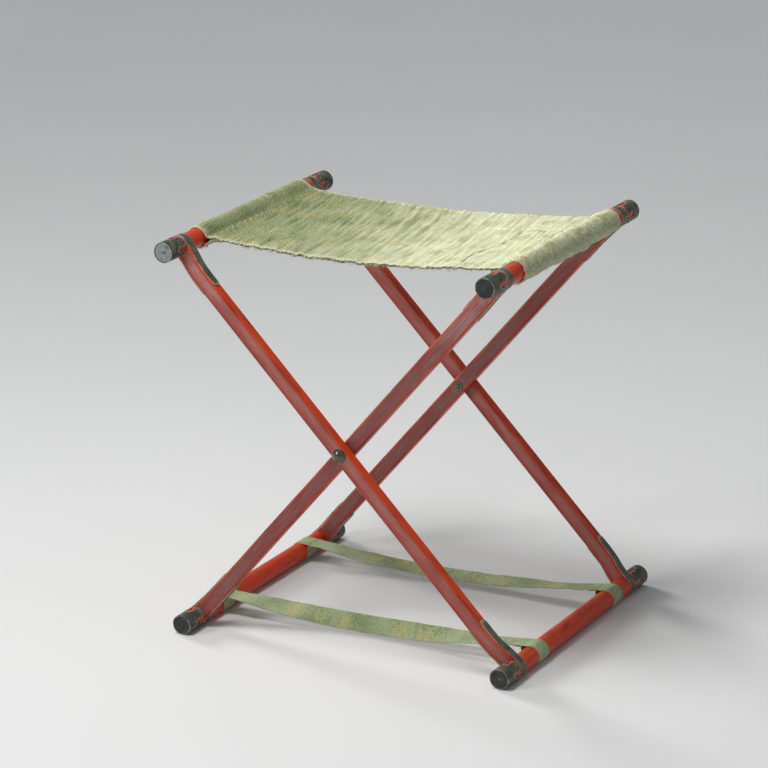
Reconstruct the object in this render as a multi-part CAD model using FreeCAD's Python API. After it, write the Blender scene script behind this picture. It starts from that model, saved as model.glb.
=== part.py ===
"""Folding camp stool: two crossed frames on a pair of pivots, with a cloth seat.

Units are millimetres.  X runs across the stool, from the left rails to the right
rails, Y runs along the rails with the front at -Y, and Z is up from the floor.
The outer frame holds the top left and floor right rails, the inner frame the top
right and floor left rails.
"""

import FreeCAD, Part
import math
import os

from FreeCAD import Vector

os.makedirs("parts", exist_ok=True)

# Layout of the open stool
rail_length = 350.0       # over the metal caps
top_spacing = 392.0       # between the axes of the two top rails
floor_spacing = 399.0     # between the axes of the two floor rails
rail_rise = 431.0         # from floor rail axis to top rail axis
joint_inset = 37.5        # from the end of a rail to the middle of its leg joint

# Wooden rails and legs
rail_diameter = 21.2
leg_width = 17.5          # seen from the front
leg_thickness = 13.5      # along the rails
leg_edge_bevel = 1.6      # taken off each face along the long edges
leg_flare = 1.5           # each side, where a leg broadens towards its rail
leg_flare_length = 36.0
leg_bend_start = 2.0      # from the rail axis to the start of the double bend
leg_bend_length = 44.0
tenon_diameter = 9.0
tenon_past_axis = 4.0

# Fits
fit_gap = 0.05            # between pieces that are fixed to each other
leg_gap = 0.4             # between the crossing legs
pivot_clearance = 0.05    # radial, where the inner leg turns on its rivet

# Metal caps on the rail ends
cap_wall = 0.95
cap_length = 29.4         # to the blunt points of the tongues
cap_notch_depth = 16.5    # of the gap between two tongues
cap_neck_depth = 6.0      # to the shoulders, where the gap is narrowest
cap_neck_share = 0.36     # of the gap's mouth, how wide it is between the shoulders
cap_oval_share = 0.52     # of the gap's mouth, how wide it is in the pointed oval behind them
cap_tongue_bow = 0.18     # of its length, how far the rounded side of a tongue bows out
cap_tongues = 4
cap_tongue_tip = 3.2      # width of the blunt point of a tongue
cap_rim_bevel = 0.4
disc_thickness = 1.0
disc_recess = 0.8         # the disc lies inside the rim of the cap

# Metal straps that tie each leg to its rail
strap_thickness = 0.9
strap_width = 9.8
strap_length = 62.0       # from the rail axis to the tip of the tang

# Forged nails: a square shank under a low head of hammered facets
disc_nail_head = 3.0
disc_nail_shank = 1.3
disc_nail_length = 9.0
cap_nail_head = 2.4
cap_nail_shank = 1.0
cap_nail_length = 4.5
strap_nail_head = 3.4
strap_nail_shank = 1.5
strap_nail_length = 6.0
nail_head_height = 0.7
nail_crown = 0.55         # width of the flat top, as a share of the head
nail_facets = 8
cap_nail_inset = 6.5      # from the point of the tongue
strap_nail_inset = 5.0    # from the tip of the tang

# Pivot rivets
rivet_head_diameter = 16.0
rivet_head_height = 4.4
rivet_rim = 0.9           # upright edge of the domed head
rivet_shank_diameter = 5.0
rivet_peen_diameter = 6.6
rivet_peen_height = 1.7
washer_diameter = 9.6
washer_thickness = 1.0
washer_gap = 0.15         # from the washer to the turning leg

# Cloth seat, which has slipped a little towards the back
seat_front_margin = 32.5  # from the middle of the front leg joints to the seat's edge
seat_back_margin = 14.5   # from the middle of the back leg joints to the seat's edge
seat_cloth = 2.0          # two layers and their lining
seat_seam_reach = 19.5    # from the rail axis to the line of stitches
seat_seam_lip = 3.0       # sewn overlap beside the stitches
seat_edge_sag = 8.0
seat_middle_sag = 14.0
seat_spans = 4            # lengths between the outlines that the dished panel runs through

# Cloth straps between the floor rails
tie_cloth = 0.9
tie_width = 22.0
tie_seam_reach = 20.0
tie_seam_height = 5.0     # above the rail axis
tie_seam_lip = 4.0
tie_spans = 6
front_tie_margin = 37.5   # from the middle of the front leg joints to the tie's near edge
front_tie_sag = 6.0
front_tie_tilt = 30.0     # degrees, front edge down, at mid span
back_tie_margin = 29.5    # from the middle of the back leg joints to the tie's near edge
back_tie_sag = 9.5
back_tie_tilt = 8.0

# Places that follow from the sizes above
rail_radius = rail_diameter / 2
cap_radius = rail_radius + fit_gap + cap_wall
floor_height = cap_radius
top_height = floor_height + rail_rise
pivot_height = floor_height + rail_rise * floor_spacing / (floor_spacing + top_spacing)
joint_y = rail_length / 2 - joint_inset
wood_end = rail_length / 2 - disc_recess - disc_thickness - fit_gap
leg_offset = (leg_thickness + leg_gap) / 2
seat_front = -joint_y + seat_front_margin
seat_back = joint_y - seat_back_margin
front_tie_front = -joint_y + front_tie_margin
back_tie_front = joint_y - back_tie_margin - tie_width
cut_past = 2.0            # how far a cutter runs on past the surface it opens
along_y = Vector(0, 1, 0)
NAILS = {
    "disc": (disc_nail_head, disc_nail_shank, disc_nail_length),
    "cap": (cap_nail_head, cap_nail_shank, cap_nail_length),
    "strap": (strap_nail_head, strap_nail_shank, strap_nail_length),
}
ENDS = {"front": -1, "back": 1}
RAILS = {
    "top_left": Vector(-top_spacing / 2, 0, top_height),
    "top_right": Vector(top_spacing / 2, 0, top_height),
    "floor_left": Vector(-floor_spacing / 2, 0, floor_height),
    "floor_right": Vector(floor_spacing / 2, 0, floor_height),
}
FRAMES = {"outer": ("top_left", "floor_right"), "inner": ("top_right", "floor_left")}
PARTNER = {"top_left": "floor_right", "floor_right": "top_left",
           "top_right": "floor_left", "floor_left": "top_right"}


def save(name, shape):
    shape.exportStep("parts/%s.step" % name)


def frame_of(rail):
    return "outer" if rail in FRAMES["outer"] else "inner"


def tube_along_y(radius, y_low, y_high, at):
    return Part.makeCylinder(radius, y_high - y_low, Vector(at.x, y_low, at.z), along_y)


def line(start, end):
    return Part.makeLine(Vector(*start), Vector(*end))


def arc(centre, radius, start, end, point):
    """Edge on a circle from one angle to another; point maps plane to space."""
    places = []
    for angle in (start, (start + end) / 2, end):
        places.append(point(centre[0] + radius * math.cos(angle), centre[1] + radius * math.sin(angle)))
    return Part.Arc(*places).toShape()


def prism(edges, direction):
    wire = Part.Wire(Part.__sortEdges__(edges))
    return Part.Face(wire).extrude(direction)


def joint_placement(rail, end):
    """Local axes of a leg joint: X from the rail axis to the pivot, Y as the stool, Z across the leg."""
    here = RAILS[rail]
    along_leg = (RAILS[PARTNER[rail]] - here).normalize()
    across = along_leg.cross(along_y)
    turn = FreeCAD.Rotation(along_leg, along_y, across, "XYZ")
    return FreeCAD.Placement(Vector(here.x, ENDS[end] * joint_y, here.z), turn)


def leg_length(rail):
    return (RAILS[PARTNER[rail]] - RAILS[rail]).Length


def leg_side(rail, end):
    """Sign of the leg's plane in Y from the joint: outer legs stand outside, inner legs inside."""
    return ENDS[end] if frame_of(rail) == "outer" else -ENDS[end]


# Legs: an outline seen from the front crossed with a double bend seen from above


def along_and_up(s, z):
    return Vector(s, 0, z)


def along_and_out(s, y):
    return Vector(s, y, 0)


def flare_edges(grow, length, up):
    """One long side of a leg seen from the front, from the rail axis to the other rail axis."""
    half = leg_width / 2
    radius = (leg_flare_length ** 2 + leg_flare ** 2) / (2 * leg_flare)
    swept = math.asin(leg_flare_length / (radius - grow))
    centre = half + radius
    ends = []
    for mirror in (False, True):

        def place(s, z, mirrored=mirror):
            return along_and_up(length - s if mirrored else s, up * z)

        down = -math.pi / 2
        ends.append(arc((leg_flare_length, centre), radius - grow, down - swept, down, place))
    straight = half + grow
    middle = line((leg_flare_length, 0, up * straight), (length - leg_flare_length, 0, up * straight))
    return [ends[0], middle, ends[1]]


def front_outline(grow, length, depth):
    """Leg outline seen from the front, grown by a margin and thickened along the rails."""
    upper = flare_edges(grow, length, 1)
    lower = flare_edges(grow, length, -1)
    caps = []
    for s in (0, length):
        corner = max(v.Z for v in upper[0].Vertexes)
        caps.append(line((s, 0, corner), (s, 0, -corner)))
    solid = prism(upper + lower + caps, Vector(0, 2 * depth, 0))
    return solid.translate(Vector(0, -depth, 0))


def bend_edges(offset, side):
    """Double bend of one leg end at a distance from its middle line, starting at the rail axis."""
    drop = leg_offset
    radius = (leg_bend_length ** 2 + drop ** 2) / (4 * drop)
    swept = 2 * math.atan(drop / leg_bend_length)
    first, second = [], []
    for share in (0.0, 0.5, 1.0):
        angle = swept * share
        near = radius - side * offset
        far = radius + side * offset
        away = leg_bend_start + near * math.sin(angle)
        back = leg_bend_start + leg_bend_length - far * math.sin(angle)
        first.append(along_and_out(away, side * (radius - near * math.cos(angle))))
        second.append(along_and_out(back, side * (drop - radius + far * math.cos(angle))))
    return [Part.Arc(*first).toShape(), Part.Arc(*second).toShape()]


def mirrored_edges(edges, length):
    return [edge.mirror(Vector(length / 2, 0, 0), Vector(1, 0, 0)) for edge in edges]


def bent_outline(half, side, length, height):
    """Leg outline seen across the leg, with a double bend at each end."""
    edges = []
    bend_end = leg_bend_start + leg_bend_length
    for offset in (half, -half):
        bend = bend_edges(offset, side)
        main = side * leg_offset + offset
        edges += bend + mirrored_edges(bend, length)
        edges.append(line((0, offset, 0), (leg_bend_start, offset, 0)))
        edges.append(line((length - leg_bend_start, offset, 0), (length, offset, 0)))
        edges.append(line((bend_end, main, 0), (length - bend_end, main, 0)))
    for s in (0, length):
        edges.append(line((s, half, 0), (s, -half, 0)))
    solid = prism(edges, Vector(0, 0, 2 * height))
    return solid.translate(Vector(0, 0, -height))


def leg_blank(side, length):
    reach = leg_thickness + leg_offset
    blank = front_outline(0.0, length, reach)
    blank = blank.common(bent_outline(leg_thickness / 2, side, length, leg_width))
    long_edges = []
    for edge in blank.Edges:
        places = [v.X for v in edge.Vertexes]
        if max(places) > fit_gap and min(places) < length - fit_gap:
            long_edges.append(edge)
    return blank.makeChamfer(leg_edge_bevel, long_edges)


def make_leg(rail, end, pivot_hole_radius):
    """Leg from its top rail, in the local axes of the top joint, then placed."""
    length = leg_length(rail)
    side = leg_side(rail, end)
    leg = leg_blank(side, length)
    saddle = rail_radius + fit_gap
    reach = 2 * leg_thickness
    tenon_length = tenon_past_axis + rail_radius + leg_bend_start
    for s, inward in ((0, 1), (length, -1)):
        leg = leg.cut(tube_along_y(saddle, -reach, reach, Vector(s, 0, 0)))
        tip = Vector(s - inward * tenon_past_axis, 0, 0)
        leg = leg.fuse(Part.makeCylinder(tenon_diameter / 2, tenon_length, tip, Vector(inward, 0, 0)))
    top = RAILS[rail]
    pivot_s = (Vector(0, 0, pivot_height) - top).Length
    leg = leg.cut(tube_along_y(pivot_hole_radius, -reach, reach, Vector(pivot_s, 0, 0)))
    nail_s = strap_length - strap_nail_inset
    for s in (nail_s, length - nail_s):
        for up in (1, -1):
            leg = leg.cut(nail_hole("strap", strap_nail_place(s, side, up)))
    leg = leg.removeSplitter()
    leg.Placement = joint_placement(rail, end)
    return leg


# Nails


def polygon(radius, z):
    corners = []
    for count in range(nail_facets + 1):
        angle = 2 * math.pi * (count % nail_facets + 0.5) / nail_facets
        corners.append(Vector(radius * math.cos(angle), radius * math.sin(angle), z))
    return Part.makePolygon(corners)


def square_bar(width, z_low, z_high):
    return Part.makeBox(width, width, z_high - z_low, Vector(-width / 2, -width / 2, z_low))


def nail(kind):
    """Forged nail standing on the plane Z = 0, shank down."""
    head, shank, length = NAILS[kind]
    rim = polygon(head / 2, 0)
    crown = polygon(head / 2 * nail_crown, nail_head_height)
    return Part.makeLoft([rim, crown], True, True).fuse(square_bar(shank, -length, 0))


def nail_placement(at, outward):
    return FreeCAD.Placement(at, FreeCAD.Rotation(Vector(0, 0, 1), outward))


def nail_hole(kind, place):
    """Cutter for a nail's shank, from just outside the surface it stands on."""
    head, shank, length = NAILS[kind]
    hole = square_bar(shank + 2 * fit_gap, -length - fit_gap, cut_past)
    hole.Placement = place
    return hole


def strap_nail_place(s, side, up):
    """On the outer face of a strap's tang, in the local axes of the leg's top joint."""
    lift = leg_width / 2 + fit_gap + strap_thickness
    return nail_placement(Vector(s, side * leg_offset, up * lift), Vector(0, 0, up))


def disc_nail_place(rail, end):
    at = RAILS[rail] + along_y * (ENDS[end] * (rail_length / 2 - disc_recess))
    return nail_placement(at, along_y * ENDS[end])


def tongue_angles():
    step = 360.0 / cap_tongues
    return [step / 2 + step * count for count in range(cap_tongues)]


def cap_nail_places(rail, end):
    places = []
    y = ENDS[end] * (rail_length / 2 - cap_length + cap_nail_inset)
    for angle in tongue_angles():
        outward = Vector(math.cos(math.radians(angle)), 0, math.sin(math.radians(angle)))
        places.append(nail_placement(RAILS[rail] + along_y * y + outward * cap_radius, outward))
    return places


# Rails


def make_rail(rail):
    axis = RAILS[rail]
    body = tube_along_y(rail_radius, -wood_end, wood_end, axis)
    for end in ENDS:
        mortise = Part.makeCylinder(tenon_diameter / 2 + fit_gap, rail_diameter,
                                    Vector(-tenon_past_axis - fit_gap, 0, 0), Vector(1, 0, 0))
        mortise.Placement = joint_placement(rail, end)
        body = body.cut(mortise)
        body = body.cut(nail_hole("disc", disc_nail_place(rail, end)))
        for place in cap_nail_places(rail, end):
            body = body.cut(nail_hole("cap", place))
    return body


# Caps: a sleeve cut into round-sided tongues, closed by a disc set inside its rim


def notch_cutter():
    """Gap between two tongues, its mouth at Y = 0, pointing along +Y, cut upwards through Z."""
    half = cap_radius * math.sin(math.pi / cap_tongues) - cap_tongue_tip / 2
    neck = half * cap_neck_share
    bow_x, bow_y = cap_tongue_bow * cap_neck_depth, cap_tongue_bow * (half - neck)
    apex = Vector(0, cap_notch_depth, 0)
    edges = [line((half, -cut_past, 0), (-half, -cut_past, 0))]
    for side in (1, -1):
        corner = Vector(side * half, 0, 0)
        tongue = Vector(side * ((half + neck) / 2 - bow_x), cap_neck_depth / 2 - bow_y, 0)
        shoulder = Vector(side * neck, cap_neck_depth, 0)
        oval = Vector(side * half * cap_oval_share, (cap_neck_depth + cap_notch_depth) / 2, 0)
        edges.append(line(corner, (side * half, -cut_past, 0)))
        edges.append(Part.Arc(corner, tongue, shoulder).toShape())
        edges.append(Part.Arc(shoulder, oval, apex).toShape())
    return prism(edges, Vector(0, 0, 2 * cap_radius))


def cap_sleeve():
    """Cap on the front end of a rail whose axis is Y, with the rail's end at Y = 0."""
    start = Vector(0, 0, 0)
    outside = tube_along_y(cap_radius, 0, cap_length, start)
    rim = [edge for edge in outside.Edges if edge.BoundBox.YMax < cap_rim_bevel]
    outside = outside.makeChamfer(cap_rim_bevel, rim)
    bore = tube_along_y(rail_radius + fit_gap, -cut_past, cap_length + cut_past, start)
    sleeve = outside.cut(bore)
    for angle in tongue_angles():
        cutter = notch_cutter()
        cutter.rotate(Vector(0, 0, 0), Vector(0, 0, 1), 180)
        cutter.translate(Vector(0, cap_length, 0))
        cutter.rotate(Vector(0, 0, 0), along_y, 360.0 / cap_tongues / 2 - angle)
        sleeve = sleeve.cut(cutter)
    return sleeve


def place_on_end(shape, rail, end):
    """Moves a piece made for a front end, with the rail's end at Y = 0, to its rail end."""
    placed = shape.copy()
    if end == "back":
        placed = placed.mirror(Vector(0, 0, 0), along_y)
    placed.translate(RAILS[rail] + along_y * (ENDS[end] * rail_length / 2))
    return placed


def make_cap(rail, end):
    sleeve = place_on_end(cap_sleeve(), rail, end)
    for place in cap_nail_places(rail, end):
        sleeve = sleeve.cut(nail_hole("cap", place))
    disc = tube_along_y(rail_radius, disc_recess, disc_recess + disc_thickness, Vector(0, 0, 0))
    disc = place_on_end(disc, rail, end)
    disc = disc.cut(nail_hole("disc", disc_nail_place(rail, end)))
    return sleeve, disc


# Leg straps: a band bent round the rail with a tang down each narrow face of the leg


def strap_cover(grow, length):
    """Leg and rail together, grown by a margin: what the strap is bent round."""
    deep = leg_thickness + leg_offset
    cover = front_outline(grow, length, deep)
    return cover.fuse(tube_along_y(rail_radius + grow, -deep, deep, Vector(0, 0, 0)))


def strap_band(side):
    """Outline of the flattened band along the bent leg, round at the tip."""
    half = strap_width / 2
    start = -2 * rail_diameter
    bend_end = leg_bend_start + leg_bend_length
    main = side * leg_offset
    tip_start = strap_length - half
    edges = [line((start, half, 0), (start, -half, 0))]
    for offset in (half, -half):
        edges += bend_edges(offset, side)
        edges.append(line((start, offset, 0), (leg_bend_start, offset, 0)))
        edges.append(line((bend_end, main + offset, 0), (tip_start, main + offset, 0)))
    for turn in (1, -1):
        edges.append(arc((tip_start, main), half, 0, turn * math.pi / 2, along_and_out))
    band = prism(edges, Vector(0, 0, 2 * leg_width + rail_diameter))
    return band.translate(Vector(0, 0, -leg_width - rail_radius))


def make_strap(rail, end):
    side = leg_side(rail, end)
    length = leg_length(rail)
    strap = strap_cover(fit_gap + strap_thickness, length).cut(strap_cover(fit_gap, length))
    strap = strap.common(strap_band(side))
    for up in (1, -1):
        place = strap_nail_place(strap_length - strap_nail_inset, side, up)
        strap = strap.cut(nail_hole("strap", place))
    strap.Placement = joint_placement(rail, end)
    return strap


# Pivots: a domed rivet through both legs, peened over a washer on the inside


def rivet_profile():
    """Half section of the front rivet, X out from its axis and Y along it, head at -Y."""
    outer_face = -joint_y - leg_gap / 2 - leg_thickness - fit_gap
    inner_face = -joint_y + leg_gap / 2 + leg_thickness + washer_gap + washer_thickness
    head = rivet_head_diameter / 2
    shank = rivet_shank_diameter / 2
    peen = rivet_peen_diameter / 2
    rim = outer_face - rivet_rim
    crown = outer_face - rivet_head_height
    peen_top = inner_face + fit_gap + rivet_peen_height

    def dome(edge, flat, top):
        rise = top - flat
        radius = (edge ** 2 + rise ** 2) / (2 * abs(rise))
        half_angle = math.asin(edge / radius) / 2
        sign = 1 if rise > 0 else -1
        middle = Vector(radius * math.sin(half_angle), top - sign * radius * (1 - math.cos(half_angle)), 0)
        return Part.Arc(Vector(edge, flat, 0), middle, Vector(0, top, 0)).toShape()

    seat = inner_face + fit_gap
    return [
        dome(head, rim, crown), line((head, rim, 0), (head, outer_face, 0)),
        line((head, outer_face, 0), (shank, outer_face, 0)), line((shank, outer_face, 0), (shank, seat, 0)),
        line((shank, seat, 0), (peen, seat, 0)), dome(peen, seat, peen_top),
        line((0, peen_top, 0), (0, crown, 0)),
    ]


def make_pivot(end):
    """Rivet and washer at the crossing of the legs; the back pair mirrors the front pair."""
    profile = Part.Face(Part.Wire(Part.__sortEdges__(rivet_profile())))
    rivet = profile.revolve(Vector(0, 0, 0), along_y, 360)
    near = -joint_y + leg_gap / 2 + leg_thickness + washer_gap
    washer = tube_along_y(washer_diameter / 2, near, near + washer_thickness, Vector(0, 0, 0))
    bore = rivet_shank_diameter / 2 + fit_gap
    past = near + washer_thickness + cut_past
    washer = washer.cut(tube_along_y(bore, near - cut_past, past, Vector(0, 0, 0)))
    pieces = []
    for piece in (rivet, washer):
        if end == "back":
            piece = piece.mirror(Vector(0, 0, 0), along_y)
        piece.translate(Vector(0, 0, pivot_height))
        pieces.append(piece)
    return pieces


# Cloth


def tangent_edges(tip_high, tip_low, radius, point):
    """Two lines from tips beside a circle to the circle, and the long way round between them."""
    places = []
    for tip, sign in ((tip_high, 1), (tip_low, -1)):
        reach = math.hypot(*tip)
        places.append(math.atan2(tip[1], tip[0]) + sign * math.acos(radius / reach))
    high, low = places[0], places[1] + 2 * math.pi
    middle = (high + low) / 2
    edges = [arc((0, 0), radius, high, middle, point), arc((0, 0), radius, middle, low, point)]
    for tip, angle in ((tip_high, high), (tip_low, low)):
        touch = point(radius * math.cos(angle), radius * math.sin(angle))
        edges.append(Part.makeLine(point(*tip), touch))
    return edges


def sewn_loop(rail, cloth, reach, height, lip, y_low, y_high):
    """Cloth sleeve round a rail, drawn together at a line of stitches on the inner side."""
    axis = RAILS[rail]
    inward = -1 if axis.x > 0 else 1

    def point(x, z):
        return Vector(axis.x + inward * x, y_low, axis.z + z)

    inner = rail_radius + fit_gap
    high, low = (reach, height + cloth), (reach, height - cloth)
    outside = tangent_edges(high, low, inner + cloth, point)
    outside.append(Part.makeLine(point(*high), point(*low)))
    inside = tangent_edges((reach - lip, height), (reach - lip, height), inner, point)
    deep = Vector(0, y_high - y_low, 0)
    return prism(outside, deep).cut(prism(inside, deep))


def seat_section(y, sag):
    """Closed outline of the seat cloth at one place along the rails."""
    reach = top_spacing / 2 - seat_seam_reach - fit_gap
    rims = []
    for level in (seat_cloth / 2, -seat_cloth / 2):
        z = top_height + level
        rims.append(Part.Arc(Vector(-reach, y, z), Vector(0, y, z - sag), Vector(reach, y, z)).toShape())
    ends = [line((x, y, top_height + seat_cloth / 2), (x, y, top_height - seat_cloth / 2))
            for x in (-reach, reach)]
    return Part.Wire(Part.__sortEdges__(rims + ends))


def make_seat_panel():
    """Dished cloth between the two lines of stitches, deepest in the middle."""
    sections = []
    for step in range(seat_spans + 1):
        share = step / seat_spans
        sag = seat_edge_sag + (seat_middle_sag - seat_edge_sag) * math.sin(math.pi * share)
        sections.append(seat_section(seat_front + (seat_back - seat_front) * share, sag))
    return Part.makeLoft(sections, True, False)


def make_floor_tie(y_low, sag, tilt):
    """Slack cloth strap between the floor rails, turned a little front edge down."""
    reach = floor_spacing / 2 - tie_seam_reach - fit_gap
    height = floor_height + tie_seam_height
    half = tie_width / 2
    middle = y_low + half
    sections = []
    for step in range(tie_spans + 1):
        x = reach * (2 * step / tie_spans - 1)
        slack = 1 - (x / reach) ** 2
        corners = []
        for y, z in ((-half, -tie_cloth), (half, -tie_cloth), (half, tie_cloth), (-half, tie_cloth)):
            angle = math.radians(tilt) * slack
            corners.append(Vector(x, middle + y * math.cos(angle) - z * math.sin(angle),
                                  height - sag * slack + y * math.sin(angle) + z * math.cos(angle)))
        sections.append(Part.makePolygon(corners + corners[:1]))
    return Part.makeLoft(sections, True, False)


# Build every piece

nails = {"outer": {"disc": [], "cap": [], "strap": []}, "inner": {"disc": [], "cap": [], "strap": []}}


def drive(kind, rail, place):
    piece = nail(kind)
    piece.Placement = place
    nails[frame_of(rail)][kind].append(piece)


for rail in RAILS:
    save("rail_" + rail, make_rail(rail))
    for end in ENDS:
        sleeve, disc = make_cap(rail, end)
        save("cap_sleeve_%s_%s" % (rail, end), sleeve)
        save("cap_disc_%s_%s" % (rail, end), disc)
        save("leg_strap_%s_%s" % (rail, end), make_strap(rail, end))
        drive("disc", rail, disc_nail_place(rail, end))
        for place in cap_nail_places(rail, end):
            drive("cap", rail, place)
        for up in (1, -1):
            local = strap_nail_place(strap_length - strap_nail_inset, leg_side(rail, end), up)
            drive("strap", rail, joint_placement(rail, end) * local)

for frame, kinds in nails.items():
    for kind, pieces in kinds.items():
        save("%s_nails_%s" % (kind, frame), Part.makeCompound(pieces))

rivet_radius = rivet_shank_diameter / 2
for frame, clearance in (("outer", fit_gap), ("inner", pivot_clearance)):
    for end in ENDS:
        save("leg_%s_%s" % (frame, end), make_leg(FRAMES[frame][0], end, rivet_radius + clearance))

for end in ENDS:
    rivet, washer = make_pivot(end)
    save("pivot_rivet_" + end, rivet)
    save("pivot_washer_" + end, washer)

for side in ("left", "right"):
    save("seat_sleeve_" + side, sewn_loop("top_" + side, seat_cloth, seat_seam_reach, 0.0, seat_seam_lip,
                                          seat_front, seat_back))
save("seat_panel", make_seat_panel())

TIES = {"front": (front_tie_front, front_tie_sag, front_tie_tilt),
        "back": (back_tie_front, back_tie_sag, back_tie_tilt)}
for end, (y_low, sag, tilt) in TIES.items():
    save("floor_tie_" + end, make_floor_tie(y_low, sag, tilt))
    for side in ("left", "right"):
        loop = sewn_loop("floor_" + side, tie_cloth, tie_seam_reach, tie_seam_height, tie_seam_lip,
                         y_low, y_low + tie_width)
        save("tie_loop_%s_%s" % (end, side), loop)
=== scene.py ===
# %% [markdown]
# # A folding camp stool in red lacquer and brocade
# Two crossed wooden frames turn on a pair of rivets. A brocade seat is sewn round the top rails, and two
# narrow ties of the same cloth keep the floor rails from sliding apart.
# The wood and the metal come from the construction model. The cloth is made here, because a drawn solid
# has no wrinkles, no frayed edge and no stitches.

# %% Load the construction model
import math

import bmesh
import bpy
import numpy as np
from mathutils import Matrix, Vector, noise


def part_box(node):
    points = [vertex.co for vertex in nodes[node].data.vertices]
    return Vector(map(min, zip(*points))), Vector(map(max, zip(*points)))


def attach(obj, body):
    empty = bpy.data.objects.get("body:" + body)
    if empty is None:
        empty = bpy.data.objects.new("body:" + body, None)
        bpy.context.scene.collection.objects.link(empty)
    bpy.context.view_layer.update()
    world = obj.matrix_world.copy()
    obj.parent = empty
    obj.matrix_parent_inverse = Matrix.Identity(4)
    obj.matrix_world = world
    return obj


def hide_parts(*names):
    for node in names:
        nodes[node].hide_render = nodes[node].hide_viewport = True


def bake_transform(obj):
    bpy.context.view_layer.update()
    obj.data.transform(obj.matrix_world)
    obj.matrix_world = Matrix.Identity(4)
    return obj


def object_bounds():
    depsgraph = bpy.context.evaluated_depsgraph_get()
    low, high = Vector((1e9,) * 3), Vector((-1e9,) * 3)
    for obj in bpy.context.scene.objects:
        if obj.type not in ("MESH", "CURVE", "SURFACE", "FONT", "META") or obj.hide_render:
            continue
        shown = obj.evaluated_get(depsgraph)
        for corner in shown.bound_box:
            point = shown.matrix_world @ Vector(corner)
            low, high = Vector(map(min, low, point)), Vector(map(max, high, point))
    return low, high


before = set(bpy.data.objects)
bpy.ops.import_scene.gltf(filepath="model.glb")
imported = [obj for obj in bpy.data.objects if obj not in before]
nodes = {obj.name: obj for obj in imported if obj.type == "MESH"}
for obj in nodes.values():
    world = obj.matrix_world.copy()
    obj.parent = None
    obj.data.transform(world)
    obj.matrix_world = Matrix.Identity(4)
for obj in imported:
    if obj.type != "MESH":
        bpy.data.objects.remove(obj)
MM = 0.001
cad_low, cad_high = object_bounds()
print("stool of", len(nodes), "nodes,", [round((b - a) / MM) for a, b in zip(cad_low, cad_high)], "mm")


# %% [markdown]
# ## Measures
# The cloth follows the rails and the wear follows the legs, so the lines of both are measured on the model.
# Writing the numbers out again would be shorter, but the cloth would then miss the rails if they changed.

# %% Measure the rails and the legs
ACROSS = Vector((0, 1, 0))
UP = Vector((0, 0, 1))


def middle(node):
    low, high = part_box(node)
    return [(a + b) / 2 for a, b in zip(low, high)]


def size(node):
    low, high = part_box(node)
    return [b - a for a, b in zip(low, high)]


top_x, _, top_z = middle("rail_top_right")
floor_x, _, floor_z = middle("rail_floor_right")
rail_radius = size("rail_top_right")[0] / 2
rail_end = (cad_high[1] - cad_low[1]) / 2
pivot = (0, 0, middle("pivot_rivet_front")[2])
leg_rise = Vector((top_x + floor_x, 0, top_z - floor_z)).normalized()
leg_slope = Vector((-leg_rise.x, 0, leg_rise.z))
print("top rails", round(2 * top_x / MM), "mm apart, floor rails", round(2 * floor_x / MM), "mm apart")


# %% [markdown]
# ## Camera
# The eye was found by matching the eight rail ends and both rivets with the photo: about 30 degrees round
# to the right of the front, 17 degrees up and slightly rolled, from nearly four metres away.
# A long lens from far away keeps the two frames almost parallel, as they are in the photo.

# %% Set up the camera
EYE = Vector((1.7847, -3.1752, 1.3885))
AROUND, ABOVE, ROLL = (math.radians(a) for a in (29.71, 17.10, -2.20))
FOCAL_PIXELS = 3431
PICTURE_PIXELS = 768
SENSOR_WIDTH = 36

right = Vector((math.cos(AROUND), math.sin(AROUND), 0))
back = Vector((math.sin(AROUND) * math.cos(ABOVE), -math.cos(AROUND) * math.cos(ABOVE), math.sin(ABOVE)))
turn = Matrix((right, back.cross(right), back)).transposed() @ Matrix.Rotation(ROLL, 3, "Z")

lens = bpy.data.cameras.new("camera")
lens.sensor_width = SENSOR_WIDTH
lens.lens = FOCAL_PIXELS / PICTURE_PIXELS * SENSOR_WIDTH
camera = bpy.data.objects.new("camera", lens)
camera.matrix_world = Matrix.Translation(EYE) @ turn.to_4x4()
bpy.context.collection.objects.link(camera)
bpy.context.scene.camera = camera
bpy.context.scene.view_settings.view_transform = "Standard"
print("lens", round(lens.lens), "mm, eye", [round(c, 2) for c in EYE])


# %% [markdown]
# ## Finishes
# A finish is a small tree of shader nodes. Writing each node and link by hand hides what is being worked
# out, so a value that varies over a surface is wrapped in a class that can be added and multiplied like a
# number, and every other node goes through one method.
# Wear is painted as a maker would do it, in layers: each layer covers the colour so far by its own share.

# %% Write shader trees as sums
class Value:
    """A value that varies over a surface and can stand in a sum."""

    def __init__(self, finish, socket):
        self.finish = finish
        self.socket = socket

    def __abs__(self):
        return self.finish.maths("ABSOLUTE", self)


def sign(operation):
    """Methods for a value on the left and on the right of a sign in a sum."""
    return (lambda value, other: value.finish.maths(operation, value, other),
            lambda value, other: value.finish.maths(operation, other, value))


Value.__add__, Value.__radd__ = sign("ADD")
Value.__sub__, Value.__rsub__ = sign("SUBTRACT")
Value.__mul__, Value.__rmul__ = sign("MULTIPLY")
Value.__truediv__, Value.__rtruediv__ = sign("DIVIDE")


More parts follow.
